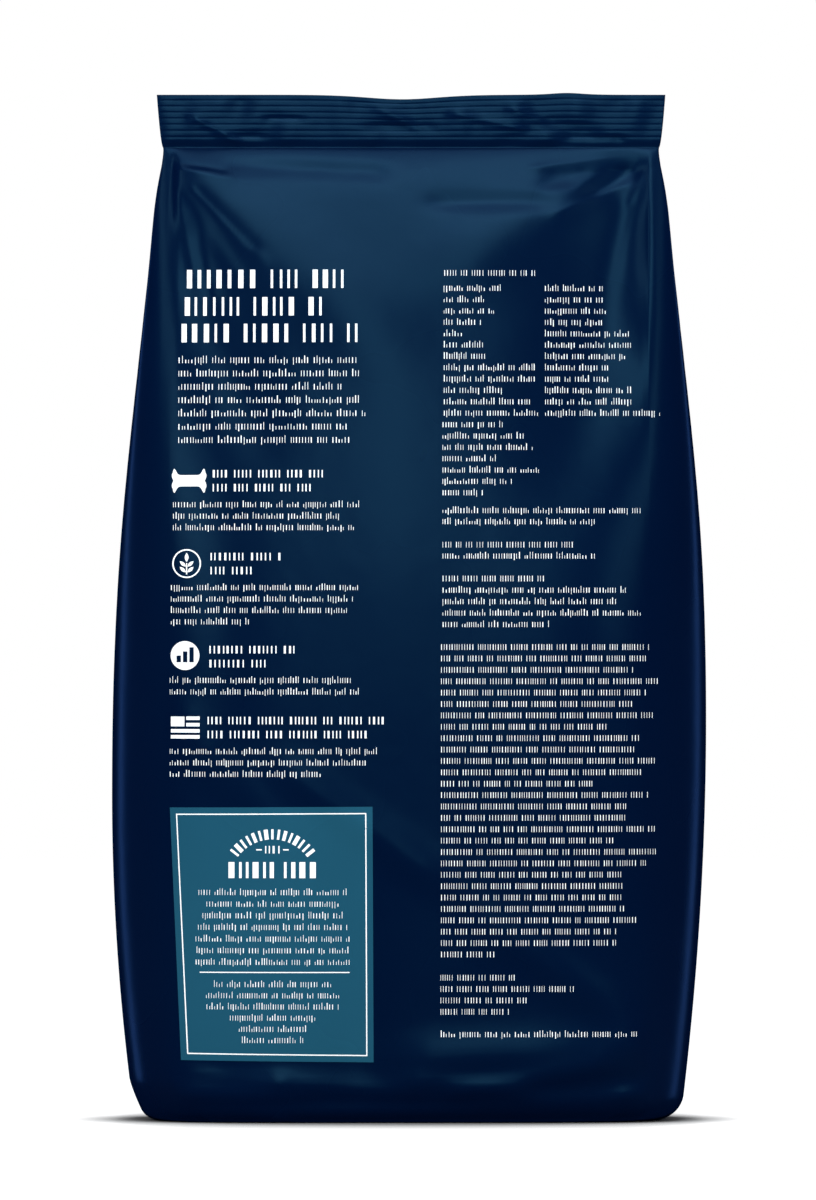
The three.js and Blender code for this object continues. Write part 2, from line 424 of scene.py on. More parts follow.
        swell = np.where(on_panel, self.panel_folds(-b * x, drop) * calm, 0)
        x = x + self.pulled(z) - a * (inward + cut)
        return np.stack([x, y + b * (swell - cut), z], axis=-1)

    def edge_shift(self, x: Array) -> Array:
        """Lean of the seal's free edge: a constant, a bell, and a turn the other way at the right.

        Args:
            x: Distances from the middle, to the right.

        Returns:
            The lean at each place, which the strip turns into lost height.
        """
        curl = self.edge_curl * np.exp(-(((x - self.curl_place) / self.curl_spread) ** 2))
        turned = (1 + np.tanh((x - self.turn_place) / self.turn_spread)) / 2
        return self.edge_lean + curl - 2 * self.edge_lean * turned

    def crimp(self, climb: Array) -> Array:
        """The crimp's grooves: a cosine to a power at each.

        Args:
            climb: Heights above the pinch.

        Returns:
            Their depth at each height.
        """
        turns = (climb - self.first_groove) / self.groove_pitch
        within = (turns > -0.5) & (turns < self.groove_count - 0.5)
        return self.groove_depth * within * np.abs(np.cos(math.pi * turns)) ** self.groove_power

    def strip(self, a: Array, b: Array, climb: Array) -> Array:
        """The crimped strip.

        It leans back by a power of the climb, and a lean of the free edge costs height by Pythagoras.

        Args:
            a: Places across the panels, -1 to 1.
            b: Places across the thin sides, -1 to 1.
            climb: Heights above the pinch, measured along the film.

        Returns:
            Points, with x, y and z along the last axis.
        """
        a, b, climb = np.broadcast_arrays(a, b, climb)
        risen = climb / self.strip_height
        width = self.pinch_width / 2 + self.strip_flare * risen**self.flare_power
        x, y = self.section(a, b, width, self.strip_thickness / 2, self.fold_line, 0 * climb)
        lean = self.edge_shift(x)
        sunk = self.strip_height - np.sqrt(self.strip_height**2 - lean**2)
        puckers = sum(fold.height(x, climb) for fold in SEAL_PUCKERS) + self.crumple(x, climb)
        edge_fade = clamp(climb / self.edge_calm) * clamp((self.strip_height - climb) / self.edge_calm)
        step = self.pinch_step * (1 - np.exp(-((climb / self.pinch_reach) ** 2)))
        pressed = self.crimp(climb) - puckers * edge_fade - step
        z = self.pinch_height + climb - sunk * risen**2
        back = self.lean_back * risen**self.lean_power
        return np.stack([x + self.seal_shift, y + pressed + back, z], axis=-1)

    def crumple(self, x: Array, climb: Array) -> Array:
        """Fine unevenness of the seal.

        Args:
            x: Distances from the middle.
            climb: Heights above the pinch.

        Returns:
            A sum of sines whose directions, lengths and phases come from a seeded generator.
        """
        rng = np.random.default_rng(self.crumple_seed)
        turns = rng.uniform(-self.crumple_turn, self.crumple_turn, self.crumple_waves)
        lengths = rng.uniform(*self.crumple_lengths, self.crumple_waves)
        phases = rng.uniform(0, 2 * math.pi, self.crumple_waves)
        waves = (
            np.sin(2 * math.pi * (x * math.cos(turn) + climb * math.sin(turn)) / length + phase)
            for turn, length, phase in zip(turns, lengths, phases)
        )
        return self.crumple_rise * sum(waves)

    def underside(self, a: Array, b: Array, grown: float, height: float) -> Array:
        """A loop of the base that outlines the folded fin, with bowed ends, grown by a margin, at a height."""
        length = self.half_width(0 * a, a) - self.foot_inset(0 * a, a) - self.fin_margin + grown - self.fin_bow * b**2
        return np.stack([length * a, (self.fin_width / 2 + grown) * b, 0 * a + height], axis=-1)

    def front(self, x: Array, z: Array) -> Array:
        """The printed side of the pouch under plain places, for the ink to lie on.

        A place within the fold lines has b = -1 and a = x / fold line. One past them has |a| = 1, and the
        gusset's formula turned round gives b.

        Args:
            x: Distances from the middle of the base, to the right.
            z: Heights.

        Returns:
            The y of the film at each place.
        """
        x = x - self.pulled(z)
        over = np.abs(x) - self.fold_line
        side = np.sign(x)
        room = self.half_width(z, side) - self.fold_line
        power = mix(*self.gusset_power, clamp((self.pinch_height - z) / self.section_drop))
        past = -np.clip(1 - over / room, *self.past_range) ** (1 / power)
        a = np.where(over > 0, side, x / self.fold_line)
        b = np.where(over > 0, past, -1.0)
        return self.body(a, b, z)[..., 1]


def srgb(colour: str) -> Four:
    """A colour as a shader takes it.

    Args:
        colour: Its sRGB hex.

    Returns:
        Its linear red, green and blue, and 1.
    """
    values = np.array([int(colour[i : i + 2], 16) for i in (1, 3, 5)]) / 255
    linear = np.where(values <= 0.04045, values / 12.92, ((values + 0.055) / 1.055) ** 2.4)
    return (*linear.tolist(), 1.0)


def add_node(
    tree: NodeTree, kind: str, inputs: dict[Any, Any] | None = None, **settings: Any
) -> bpy_prop_collection:
    """Adds one node with its settings and links.

    Args:
        tree: The node tree it goes into.
        kind: The node's Blender type.
        inputs: Input name or number to a plain value or to another node's output.
        settings: The node's own properties.

    Returns:
        The node's outputs.
    """
    node = tree.nodes.new(kind)
    for name, setting in settings.items():
        setattr(node, name, setting)
    for name, value in (inputs or {}).items():
        if isinstance(value, NodeSocket):
            tree.links.new(value, node.inputs[name])
        else:
            node.inputs[name].default_value = value
    return node.outputs


def new_tree(name: str) -> tuple[Material, NodeTree]:
    """Makes a material without nodes.

    Args:
        name: Its name.

    Returns:
        The material and its tree.
    """
    material = bpy.data.materials.new(name)
    material.use_nodes = True
    material.node_tree.nodes.clear()
    return material, material.node_tree


def ripple(period: float) -> float:
    """Scale of a noise, on Object coordinates in metres, whose lumps are a number of millimetres across."""
    return 1 / (period * MM)


@dataclass(frozen=True)
class LaminateFinish:
    """Satin polyester over polyethylene, printed on its inner face before lamination.

    The ink lies under a clear film, so the colour is deep and even and only the film on top catches the
    light: a broad, soft, bluish sheen that follows every fold.
    """

    name: str
    colour: str
    roughness: float = 0.27
    haze: Pair = (-0.04, 0.05)  # how far the roughness drifts
    specular: float = 0.12
    tint: str = "#6fd1ff"
    ior: float = 1.5
    fade: Pair = (0.30, 0.86)  # how far the film turns away where its gloss starts to go, and is gone
    deeper: str | None = None  # a second tone that drifts through the ink
    cloud_pitch: float = 70.0
    dimple_pitch: float = 9.0  # pieces of food press softly against the film
    dimple_height: float = 0.10
    grain_pitch: float = 1.2
    grain_height: float = 0.006

    def material(self) -> Material:
        """Makes the material.

        Returns:
            A Principled material with drifting tone and two depths of bump.
        """
        material, tree = new_tree(self.name)
        place = add_node(tree, "ShaderNodeTexCoord")["Object"]
        kinds = ((self.cloud_pitch, 2.0, 0.4), (self.dimple_pitch, 1.0, 0.3), (self.grain_pitch, 2.0, 0.5))
        noises = (
            {"Vector": place, "Scale": ripple(pitch), "Detail": detail, "Roughness": rough}
            for pitch, detail, rough in kinds
        )
        cloud, dimples, grain = (add_node(tree, "ShaderNodeTexNoise", noise)["Fac"] for noise in noises)
        tones = {0: cloud, 6: srgb(self.colour), 7: srgb(self.deeper or self.colour)}
        colour = add_node(tree, "ShaderNodeMix", tones, data_type="RGBA")[2]
        smooth, rough = (self.roughness + drift for drift in self.haze)
        haze = add_node(tree, "ShaderNodeMapRange", {"Value": cloud, "To Min": smooth, "To Max": rough})
        bump = {"Height": dimples, "Strength": 1.0, "Distance": self.dimple_height * MM}
        pressed = add_node(tree, "ShaderNodeBump", bump)["Normal"]
        bump = {"Height": grain, "Strength": 1.0, "Distance": self.grain_height * MM, "Normal": pressed}
        fine = add_node(tree, "ShaderNodeBump", bump)["Normal"]
        turned = add_node(tree, "ShaderNodeLayerWeight", {"Blend": 0.5})["Facing"]
        ends = {"From Min": self.fade[0], "From Max": self.fade[1], "To Min": self.specular, "To Max": 0.0}
        gloss = add_node(tree, "ShaderNodeMapRange", {"Value": turned, **ends}, interpolation_type="SMOOTHSTEP")
        film = {
            "Base Color": colour,
            "Roughness": haze["Result"],
            "IOR": self.ior,
            "Specular IOR Level": gloss["Result"],
            "Specular Tint": srgb(self.tint),
            "Normal": fine,
        }
        shader = add_node(tree, "ShaderNodeBsdfPrincipled", film)["BSDF"]
        add_node(tree, "ShaderNodeOutputMaterial", {"Surface": shader})
        return material


@dataclass(frozen=True)
class SweepFinish:
    """Matt white paper of a studio sweep that glows white; the soft shadow where the pouch stands on it is painted
    into that glow.
    """

    name: str = "matt_white_sweep_paper"
    colour: str = "#7e7c79"
    glow: float = 0.95
    front_contact: float = 95.0  # how far the painted shadow reaches in front of the pouch, in mm
    side_contact: float = 32.0  # and beside it
    turn: Pair = (85.0, 115.0)  # distances from the middle between which the one becomes the other
    touching: float = 0.54  # openness of the paper right at a wall that stands on it
    open_from: float = 0.94  # openness from which the paper is white
    samples: int = 16

    def material(self) -> Material:
        """Makes the material.

        Returns:
            Paper that glows white where it lies open and greys where the pouch closes it in: a painted shadow.
        """
        material, tree = new_tree(self.name)
        place = add_node(tree, "ShaderNodeTexCoord")["Object"]
        axes = add_node(tree, "ShaderNodeSeparateXYZ", {"Vector": place})
        aside = add_node(tree, "ShaderNodeMath", {0: axes["X"]}, operation="ABSOLUTE")["Value"]
        names = ("From Min", "From Max", "To Min", "To Max")
        contact = (size * MM for size in (*self.turn, self.front_contact, self.side_contact))
        reach = add_node(tree, "ShaderNodeMapRange", {"Value": aside, **dict(zip(names, contact))})["Result"]
        # Painted shadow: ambient occlusion dims the glow, and reaches further in front of the pouch than beside it.
        openness = add_node(tree, "ShaderNodeAmbientOcclusion", {"Distance": reach}, samples=self.samples)["AO"]
        ends = dict(zip(names, (self.touching, self.open_from, 0.0, self.glow)))
        glow = add_node(tree, "ShaderNodeMapRange", {"Value": openness, **ends})["Result"]
        paper = add_node(tree, "ShaderNodeBsdfDiffuse", {"Color": srgb(self.colour)})["BSDF"]
        light = add_node(tree, "ShaderNodeEmission", {"Color": WHITE, "Strength": glow})["Emission"]
        both = add_node(tree, "ShaderNodeAddShader", {0: paper, 1: light})["Shader"]
        add_node(tree, "ShaderNodeOutputMaterial", {"Surface": both})
        return material


@dataclass(frozen=True)
class ClothFinish:
    """Black wool molton of a studio wall: quite matt, so that nothing is mirrored in it."""

    name: str = "black_wool_molton"
    colour: str = "#161616"

    def material(self) -> Material:
        """Makes the material.

        Returns:
            A rough diffuse material.
        """
        material, tree = new_tree(self.name)
        cloth = add_node(tree, "ShaderNodeBsdfDiffuse", {"Color": srgb(self.colour), "Roughness": 0.5})
        add_node(tree, "ShaderNodeOutputMaterial", {"Surface": cloth["BSDF"]})
        return material


def seen_directly(tree: NodeTree) -> NodeSocket:
    """Tells the rays that see the white background from those that light the pouch.

    Args:
        tree: The node tree it goes into.

    Returns:
        An output that is 1 for camera, glossy and transmission rays.
    """
    path = add_node(tree, "ShaderNodeLightPath")
    seen = path["Is Camera Ray"]
    for kind in ("Is Glossy Ray", "Is Transmission Ray"):
        seen = add_node(tree, "ShaderNodeMath", {0: seen, 1: path[kind]}, operation="MAXIMUM")["Value"]
    return seen


def put(name: str, data: Any) -> Object:
    """Puts an object into the scene, at the origin.

    Args:
        name: Its name.
        data: Its mesh, lamp or camera.

    Returns:
        The object.
    """
    piece = bpy.data.objects.new(name, data)
    bpy.context.scene.collection.objects.link(piece)
    return piece


def add_mesh(name: str, points: Array, faces: list[list[int]], material: Material, smooth: bool) -> Object:
    """Makes a mesh object and reports it.

    Args:
        name: Name of the object and its mesh.
        points: Its points in millimetres.
        faces: Corner numbers of each face, counter-clockwise from outside.
        material: Its finish.
        smooth: Whether its faces shade as one curved surface.

    Returns:
        The object.
    """
    mesh = bpy.data.meshes.new(name)
    mesh.from_pydata((points.reshape(-1, 3) * MM).tolist(), [], faces)
    mesh.update()
    if smooth:
        mesh.shade_smooth()
    else:
        mesh.shade_flat()
    mesh.materials.append(material)
    LOG.info("%s: %d points, %d faces", name, len(mesh.vertices), len(mesh.polygons))
    return put(name, mesh)


@dataclass
class Pouch:
    """The film of the whole pouch, as one closed skin over a grid of columns and rows."""

    form: PouchForm
    finish: LaminateFinish
    panel_columns: int = 112
    gusset_columns: int = 36
    strip_rows: int = 66
    body_rows: int = 240
    foot_rows: int = 14
    base_rows: int = 8
    crowding: float = 1.5  # rows lie closer together towards the pinch
    panel_crowding: float = 0.45  # columns lie closer together towards the fold lines
    gusset_crowding: float = 0.1

    @staticmethod
    def places(count: int, crowding: float) -> Array:
        """Places along a side: t + crowding sin(pi t) / pi, with t even from -1 to just short of 1."""
        even = 2 * np.arange(count) / count - 1
        return even + crowding * np.sin(math.pi * even) / math.pi

    def columns(self) -> tuple[Array, Array]:
        """Places (a, b) round the edge of the square, printed panel first.

        Returns:
            The a and the b of every column.
        """
        panel = self.places(self.panel_columns, self.panel_crowding)
        gusset = self.places(self.gusset_columns, self.gusset_crowding)
        on_panel, on_gusset = np.ones_like(panel), np.ones_like(gusset)
        a = np.concatenate([panel, on_gusset, -panel, -on_gusset])
        b = np.concatenate([-on_panel, gusset, on_panel, -gusset])
        return a, b

    def courses(self) -> Array:
        """Every row of points, from the fin under the base up to the seal's free edge.

        The foot's heights follow 1 - cos, which crowds them at the floor, and the body's drops follow a
        power, which crowds them at the pinch.

        Returns:
            Points by row and column.
        """
        form = self.form
        a, b = self.columns()
        gap = form.fin_gap
        loops = [form.underside(a, b, *rim) for rim in ((0, 0), (gap / 2, form.fin_gap_depth), (gap, 0))]
        rim = form.body(a, b, np.zeros_like(a))
        shares = (np.arange(1, self.base_rows) / self.base_rows)[:, None, None]
        base = mix(loops[-1], rim, shares)
        turn = math.pi / 2 * np.arange(self.foot_rows) / self.foot_rows
        foot = form.body(a, b, (form.foot_cut_height * (1 - np.cos(turn)))[:, None])
        share = 1 - np.arange(self.body_rows) / self.body_rows
        drops = (form.pinch_height - form.foot_cut_height) * share**self.crowding
        body = form.body(a, b, (form.pinch_height - drops)[:, None])
        climbs = form.strip_height * np.arange(self.strip_rows + 1) / self.strip_rows
        strip = form.strip(a, b, climbs[:, None])
        return np.concatenate([np.stack(loops), base, foot, body, strip])

    def faces(self, rows: int) -> list[list[int]]:
        """Faces between neighbouring rows, and those that shut the first and last row on themselves.

        A row is shut by joining each column to the one that mirrors it from front to back.

        Args:
            rows: Number of rows.

        Returns:
            Corner numbers of each face.
        """
        count = 2 * (self.panel_columns + self.gusset_columns)
        column = np.arange(count)
        first = (np.arange(rows - 1) * count)[:, None]
        after = (column + 1) % count
        sides = np.stack([first + column, first + after, first + after + count, first + column + count], axis=-1)
        middle = self.panel_columns + self.gusset_columns // 2
        near = np.arange(middle - 1, -self.gusset_columns // 2, -1)
        far = 2 * self.panel_columns + self.gusset_columns - near
        near, far = near % count, far % count
        across = np.stack([near[1:], near[:-1], far[:-1], far[1:]], axis=-1)
        ends = np.array([[near[0], middle, far[0]], [near[-1], far[-1], (count - self.gusset_columns // 2) % count]])
        top = (rows - 1) * count
        shut = [(across + top).tolist(), (ends + top).tolist(), across[:, ::-1].tolist(), ends[:, ::-1].tolist()]
        return sides.reshape(-1, 4).tolist() + [face for group in shut for face in group]

    def build(self) -> Object:
        """Makes the film, in place of the plain solid.

        Returns:
            The film.
        """
        points = self.courses()
        piece = add_mesh("pouch_film", points, self.faces(len(points)), self.finish.material(), smooth=True)
        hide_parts("filled_pouch")
        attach(piece, "root")
        return piece


@dataclass(frozen=True)
class HandSizes:
    """Sizes of print, in mm."""

    height: float
    strokes: tuple[float, ...]  # widths that a stroke may have
    gaps: Pair  # least and greatest gap between strokes
    word_gap: float
    even: bool = True  # all strokes have one height
    cells: tuple[int, int] | None = None  # grid over a stroke that is large enough to bend with the film


class Hand(Enum):
    """Kinds of print."""

    SMALL = HandSizes(1.95, (0.18, 0.22, 0.33), (0.58, 0.90), 1.9, even=False)
    TEXT = HandSizes(2.20, (0.20, 0.24, 0.37), (0.70, 1.05), 2.2, even=False)
    CAPITALS = HandSizes(2.20, (0.16, 0.20, 0.30), (0.62, 0.96), 1.9)
    STRONG = HandSizes(2.90, (0.42, 0.48, 0.78), (0.85, 1.25), 2.8)
    HEADING = HandSizes(7.2, (0.9, 0.9, 1.4, 2.0), (1.7, 2.5), 5.6, cells=(3, 7))
    TITLE = HandSizes(6.2, (1.0, 1.0, 1.6, 2.3), (1.2, 1.6), 3.4, cells=(2, 5))


LONG_GROUP, SHORT_GROUP = (3, 14), (3, 8)  # strokes in a group, from the first number to under the second
NARROW = 70  # even print in rows narrower than this has short groups
RISER, LOW, TAIL = 1.32, 0.62, -0.3  # tops and foot of uneven strokes, in heights of the print
RISERS_TO, LOWS_FROM, TAILS = 0.13, 0.80, (0.20, 0.27)  # chances at which a stroke is one of these


@dataclass(frozen=True)
class Block:
    """Rows of marks, ragged at the right or centred, in place of one paragraph of print. In millimetres."""

    left: float
    first: float  # height of the first row's middle
    pitch: float
    widths: tuple[float, ...]
    hand: Hand = Hand.SMALL
    centred: bool = False  # "left" is then the middle of the rows

    def rows(self, rng: np.random.Generator) -> Array:
        """The strokes of every row.

        Args:
            rng: Seeded generator that picks widths, gaps and the lengths of words.

        Returns:
            Upright strokes as corners (4, 2), counter-clockwise from the front, in millimetres.
        """
        return np.concatenate([self.row(i, width, rng) for i, width in enumerate(self.widths)])

    def row(self, number: int, width: float, rng: np.random.Generator) -> Array:
        """The strokes of one row: plain upright blocks side by side, in groups like words.

        Args:
            number: Number of the row, from the top.
            width: Its width.
            rng: Seeded generator.

        Returns:
            Corners (4, 2) of each stroke, whose right ends are the running sum of widths and gaps.
        """
        hand = self.hand.value
        count = int(width / (min(hand.strokes) + hand.gaps[0])) + 1
        strokes = rng.choice(hand.strokes, count)
        gaps = rng.uniform(*hand.gaps, count)
        group = SHORT_GROUP if width < NARROW and hand.even else LONG_GROUP
        ends = np.cumsum(rng.integers(*group, size=count))
        gaps = np.where(np.isin(np.arange(count), ends), hand.word_gap, gaps)
        right = np.cumsum(strokes + gaps) - gaps
        inside = right <= width
        right, strokes = right[inside], strokes[inside]
        left = self.left - width / 2 if self.centred else self.left
        left = left + (right - strokes) * width / right[-1]
        low = self.first - number * self.pitch - hand.height / 2
        chance = rng.random(len(left))
        tall = np.where(chance < RISERS_TO, RISER, np.where(chance > LOWS_FROM, LOW, 1.0))
        deep = np.where((chance > TAILS[0]) & (chance < TAILS[1]), TAIL, 0.0)
        if hand.even:
            tall, deep = np.ones_like(chance), np.zeros_like(chance)
        return corners(left, low + deep * hand.height, left + strokes, low + tall * hand.height)


def corners(left: Array | float, bottom: Array | float, right: Array | float, top: Array | float) -> Array:
    """Upright rectangles.

    Args:
        left: Left edges.
        bottom: Lower edges.
        right: Right edges.
        top: Upper edges.

    Returns:
        Their corners, counter-clockwise seen from the front, as an array (n, 4, 2).
    """
    x = np.stack([left, right, right, left], axis=-1)
    z = np.stack([bottom, bottom, top, top], axis=-1)
    return np.stack([x, z], axis=-1).reshape(-1, 4, 2)


def patch(quad: tuple[Pair, ...], across: int, up: int) -> Array:
    """A grid over a four-cornered field, by plain mixing of its corners.

    Args:
        quad: Corners, counter-clockwise from the lower left.
        across: Cells from left to right.
        up: Cells upwards.

    Returns:
        Places by row and column.
    """
    low_left, low_right, high_right, high_left = np.array(quad)
    u = np.linspace(0, 1, across + 1)[None, :, None]
    v = np.linspace(0, 1, up + 1)[:, None, None]
    return mix(mix(low_left, low_right, u), mix(high_left, high_right, u), v)


def ring(middle: Pair, inner: float, outer: float, count: int = 48) -> Array:
    """A grid round a circle.

    Args:
        middle: Its centre.
        inner: Inner radius.
        outer: Outer radius.
        count: Columns.

    Returns:
        Places by row and column; the last column meets the first.
    """
    turn = -2 * math.pi * np.arange(count) / count
    radius = np.array([inner, outer])[:, None]
    return np.stack([middle[0] + radius * np.cos(turn), middle[1] + radius * np.sin(turn)], axis=-1)


def disc(middle: Pair, radius: float, count: int = 12) -> Array:
    """A grid over a disc: the square u, v pressed round as u sqrt(1 - v^2/2), v sqrt(1 - u^2/2).

    Args:
        middle: Its centre.
        radius: Its radius.
        count: Cells each way.

    Returns:
        Places by row and column.
    """
    side = np.linspace(-1, 1, count + 1)
    u, v = side[None, :], side[:, None]
    x = u * np.sqrt(1 - v**2 / 2)
    z = v * np.sqrt(1 - u**2 / 2)
    return np.stack([middle[0] + radius * x, middle[1] + radius * z], axis=-1)


LEAF_ENDS, LEAF_GRID = (0.02, 0.98), (9, 4)  # a leaf is cut off just short of its points


def leaf(root: Pair, length: float, width: float, lean: float) -> Array:
    """A grid over a pointed leaf, whose half width is a sine along it.

    Args:
        root: Its foot.
        length: Its length.
        width: Its greatest width.
        lean: Degrees from upright, to the right.

    Returns:
        Places by row and column.
    """
    t = np.linspace(*LEAF_ENDS, LEAF_GRID[0])[:, None]
    s = np.linspace(-1, 1, LEAF_GRID[1])[None, :]
    along = length * t + 0 * s
    across = s * width / 2 * np.sin(math.pi * t)
    turn = math.radians(lean)
    x = root[0] + along * math.sin(turn) + across * math.cos(turn)
    z = root[1] + along * math.cos(turn) - across * math.sin(turn)
    return np.stack([x, z], axis=-1)


BONE_GRID = (33, 9)
BONE_SHAFT, BONE_KNOB = 0.26, 0.30  # half height of the shaft, and what a knob adds, in thicknesses
KNOB_PLACE, KNOB_SPREAD = 0.84, 0.17  # in half lengths
NOTCH, NOTCH_POWER = 0.14, 1.5  # depth of the notch in an end, and how fast it closes
KNOB_ROUND, KNOB_ROUND_POWER = 0.12, 4  # and how far a knob's corners are rounded
END_POWER = 8  # how late along the bone both set in


def bone(middle: Pair, length: float, thickness: float) -> Array:
    """A grid over a bone: the half height swells by a bell at each end, and the ends are notched.

    Args:
        middle: Its centre.
        length: Its length.
        thickness: Height of its ends.

    Returns:
        Places by row and column.
    """
    t = np.linspace(-1, 1, BONE_GRID[0])[None, :]
    s = np.linspace(-1, 1, BONE_GRID[1])[:, None]
    half = thickness * (BONE_SHAFT + BONE_KNOB * np.exp(-(((np.abs(t) - KNOB_PLACE) / KNOB_SPREAD) ** 2)))
    cut = NOTCH * (1 - np.abs(s)) ** NOTCH_POWER + KNOB_ROUND * np.abs(s) ** KNOB_ROUND_POWER
    notch = 1 - cut * np.abs(t) ** END_POWER
    x = middle[0] + length / 2 * t * notch
    z = middle[1] + s * half + 0 * x
    return np.stack([x, z], axis=-1)


class Ink:
    """Flat shapes gathered in the plane of the printed panel, then laid on the film as thin closed slabs."""

    def __init__(self, form: PouchForm, lift: float, depth: float = 0.06) -> None:
        """Starts an empty layer.

        Args:
            form: The film that it lies on.
            lift: How far its face stands proud of the film.
            depth: How far its back sinks into the film.
        """
        self.form = form
        self.lift = lift
        self.depth = depth
        self.points: list[Array] = []
        self.faces: list[list[int]] = []
        self.count = 0

    def lay(self, flat: Array) -> int:
        """Adds the face and back points of flat places.

        Args:
            flat: Places (x, z).

        Returns:
            The number of the first face point; the back points follow all face points.
        """
        flat = flat.reshape(-1, 2)
        y = self.form.front(flat[:, 0], flat[:, 1])
        for shift in (-self.lift, self.depth):
            self.points.append(np.stack([flat[:, 0], y + shift, flat[:, 1]], axis=-1))
        start = self.count
        self.count += 2 * len(flat)
        return start

    def add_bars(self, bars: Array) -> None:
        """Adds four-cornered slabs.

        Args:
            bars: Their corners, as an array (n, 4, 2).
        """
        start = self.lay(bars)
        face = start + np.arange(bars.shape[0] * 4).reshape(-1, 4)
        back = face + bars.shape[0] * 4
        after_face, after_back = np.roll(face, -1, axis=1), np.roll(back, -1, axis=1)
        walls = np.stack([face, back, after_back, after_face], axis=-1).reshape(-1, 4)
        self.faces += face.tolist() + back[:, ::-1].tolist() + walls.tolist()

    def add_grid(self, grid: Array, round_about: bool = False) -> None:
        """Adds one slab over a grid.

        Args:
            grid: Places (x, z) by row and column, rows running up where columns run right.
            round_about: Whether the last column joins the first.
        """
        rows, columns = grid.shape[:2]
        start = self.lay(grid)
        face = start + np.arange(rows * columns).reshape(rows, columns)
        if round_about:
            face = np.concatenate([face, face[:, :1]], axis=1)
        back = face + rows * columns
        front = np.stack([face[:-1, :-1], face[:-1, 1:], face[1:, 1:], face[1:, :-1]], axis=-1).reshape(-1, 4)
        rear = (front + rows * columns)[:, ::-1]
        edges = [(face[0], back[0]), (face[-1, ::-1], back[-1, ::-1])]
        if not round_about:
            edges += [(face[:, -1], back[:, -1]), (face[::-1, 0], back[::-1, 0])]
        walls = [np.stack([f[:-1], b[:-1], b[1:], f[1:]], axis=-1) for f, b in edges]
        self.faces += front.tolist() + rear.tolist() + np.concatenate(walls).tolist()

    def add_plate(self, left: float, low: float, right: float, high: float, across: int, up: int) -> None:
        """Adds one upright oblong slab over a grid.

        Args:
            left: Left edge.
            low: Lower edge.
            right: Right edge.
            high: Upper edge.
            across: Cells from left to right.
            up: Cells upwards.
        """
        self.add_grid(patch(corners(left, low, right, high)[0], across, up))

    def add_block(self, block: Block, rng: np.random.Generator) -> None:
        """Adds the rows of a block, with a grid over each stroke where its print is large.

        Args:
            block: The block.
            rng: Seeded generator that draws its strokes.
        """
        bars, cells = block.rows(rng), block.hand.value.cells
        if cells is None:
            self.add_bars(bars)
        else:
            for bar in bars:
                self.add_grid(patch(bar, *cells))

    def build(self, name: str, finish: LaminateFinish, slot: str) -> Object:
        """Makes the layer's piece.

        Args:
            name: Its name.
            finish: Its finish.
            slot: Not used.

        Returns:
            The piece.
        """
        piece = add_mesh(name, np.concatenate(self.points), self.faces, finish.material(), smooth=False)
        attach(piece, "root")
        return piece


# The three rows of the heading.
HEADINGS = (
    Block(-86.3, 327.0, 0, (60.9,), Hand.HEADING),
    Block(-87.1, 316.3, 0, (53.2,), Hand.HEADING),
    Block(-88.3, 305.9, 0, (68.3,), Hand.HEADING),
)

# Print in rows: under the heading, strong lines beside four pictures, and a paragraph under each picture.
LEFT_ROWS = (
    Block(-89.4, 295.3, 5.17, (68.9, 69.9, 63.1, 69.9, 72.4, 65.2, 66.2), Hand.TEXT),
    Block(-76.0, 251.2, 5.4, (42.6, 37.9), Hand.STRONG),
    Block(-76.8, 219.1, 5.4, (27.1, 15.9), Hand.STRONG),
    Block(-77.2, 183.1, 5.4, (32.9, 21.7), Hand.STRONG),
    Block(-77.9, 155.7, 5.4, (68.1, 61.5), Hand.STRONG),
    Block(-91.4, 239.2, 4.45, (72.0, 64.2, 70.0)),
    Block(-92.2, 207.1, 4.42, (72.4, 70.4, 68.1, 30.2)),
    Block(-92.6, 171.2, 4.45, (70.0, 73.1)),
    Block(-92.6, 143.7, 4.40, (80.1, 75.8, 58.4)),
)

# The right column: a table of two columns, three short headings, notes, and a long and a short paragraph.
RIGHT_ROWS = (
    Block(13.5, 323.3, 4.42, (22, 15.5, 19.4, 14.3, 7, 15.1, 15.9, 35.2, 35.2, 22.4, 33.3, 36.4)),
    Block(52.8, 323.3, 4.42, (22.4, 22.4, 23.6, 22.1, 32.5, 33.3, 31, 24.4, 24.4, 33.3, 33.3, 44.5)),
    Block(13.0, 270.2, 4.40, (23.2, 31.3, 34.8, 20.5, 37.2, 26.7, 15.5)),
    Block(13.7, 329.3, 5, (35.2,), Hand.CAPITALS),
    Block(13.0, 223.7, 5, (50.3,), Hand.CAPITALS),
    Block(13.0, 210.6, 5, (39.1,), Hand.CAPITALS),
    Block(13.0, 236.9, 4.30, (76.6, 58.8)),
    Block(13.0, 219.3, 4.40, (58.8,)),
    Block(13.0, 206.1, 4.43, (70.8, 67.0, 76.6, 41.0)),
    Block(12.3, 34.3, 4.40, (75.8,)),
    Block(
        12.4,
        184.1,
        4.40,
        (80.4, 79.2, 74.2, 83.9, 79.2, 73.8, 81.9, 63.8, 76.5, 74.6, 82.7, 77.3, 58.4, 80.0)
        + (71.5, 71.1, 82.7, 66.5, 83.1, 79.2, 69.6, 70.0, 69.6, 70.7, 75.4, 67.6, 67.6, 20.5),
        Hand.CAPITALS,
    ),
    Block(12.2, 56.3, 4.40, (28.6, 51.4, 33.2, 26.3), Hand.CAPITALS),
)

# The rows on the blue-green field, round its middle.
FIELD_MIDDLE = -52.8
FIELD_ROWS = (
    Block(FIELD_MIDDLE, 105.8, 5, (5.6,), Hand.STRONG, centred=True),
    Block(FIELD_MIDDLE, 97.9, 5, (34.0,), Hand.TITLE, centred=True),
    Block(FIELD_MIDDLE, 89.2, 4.5, (57.2, 51, 54.1, 57.6, 59.5, 58.7, 59.5), centred=True),
    Block(FIELD_MIDDLE, 53.6, 4.33, (45.2, 51.4, 51, 32.9, 25.9, 23.6), centred=True),
)


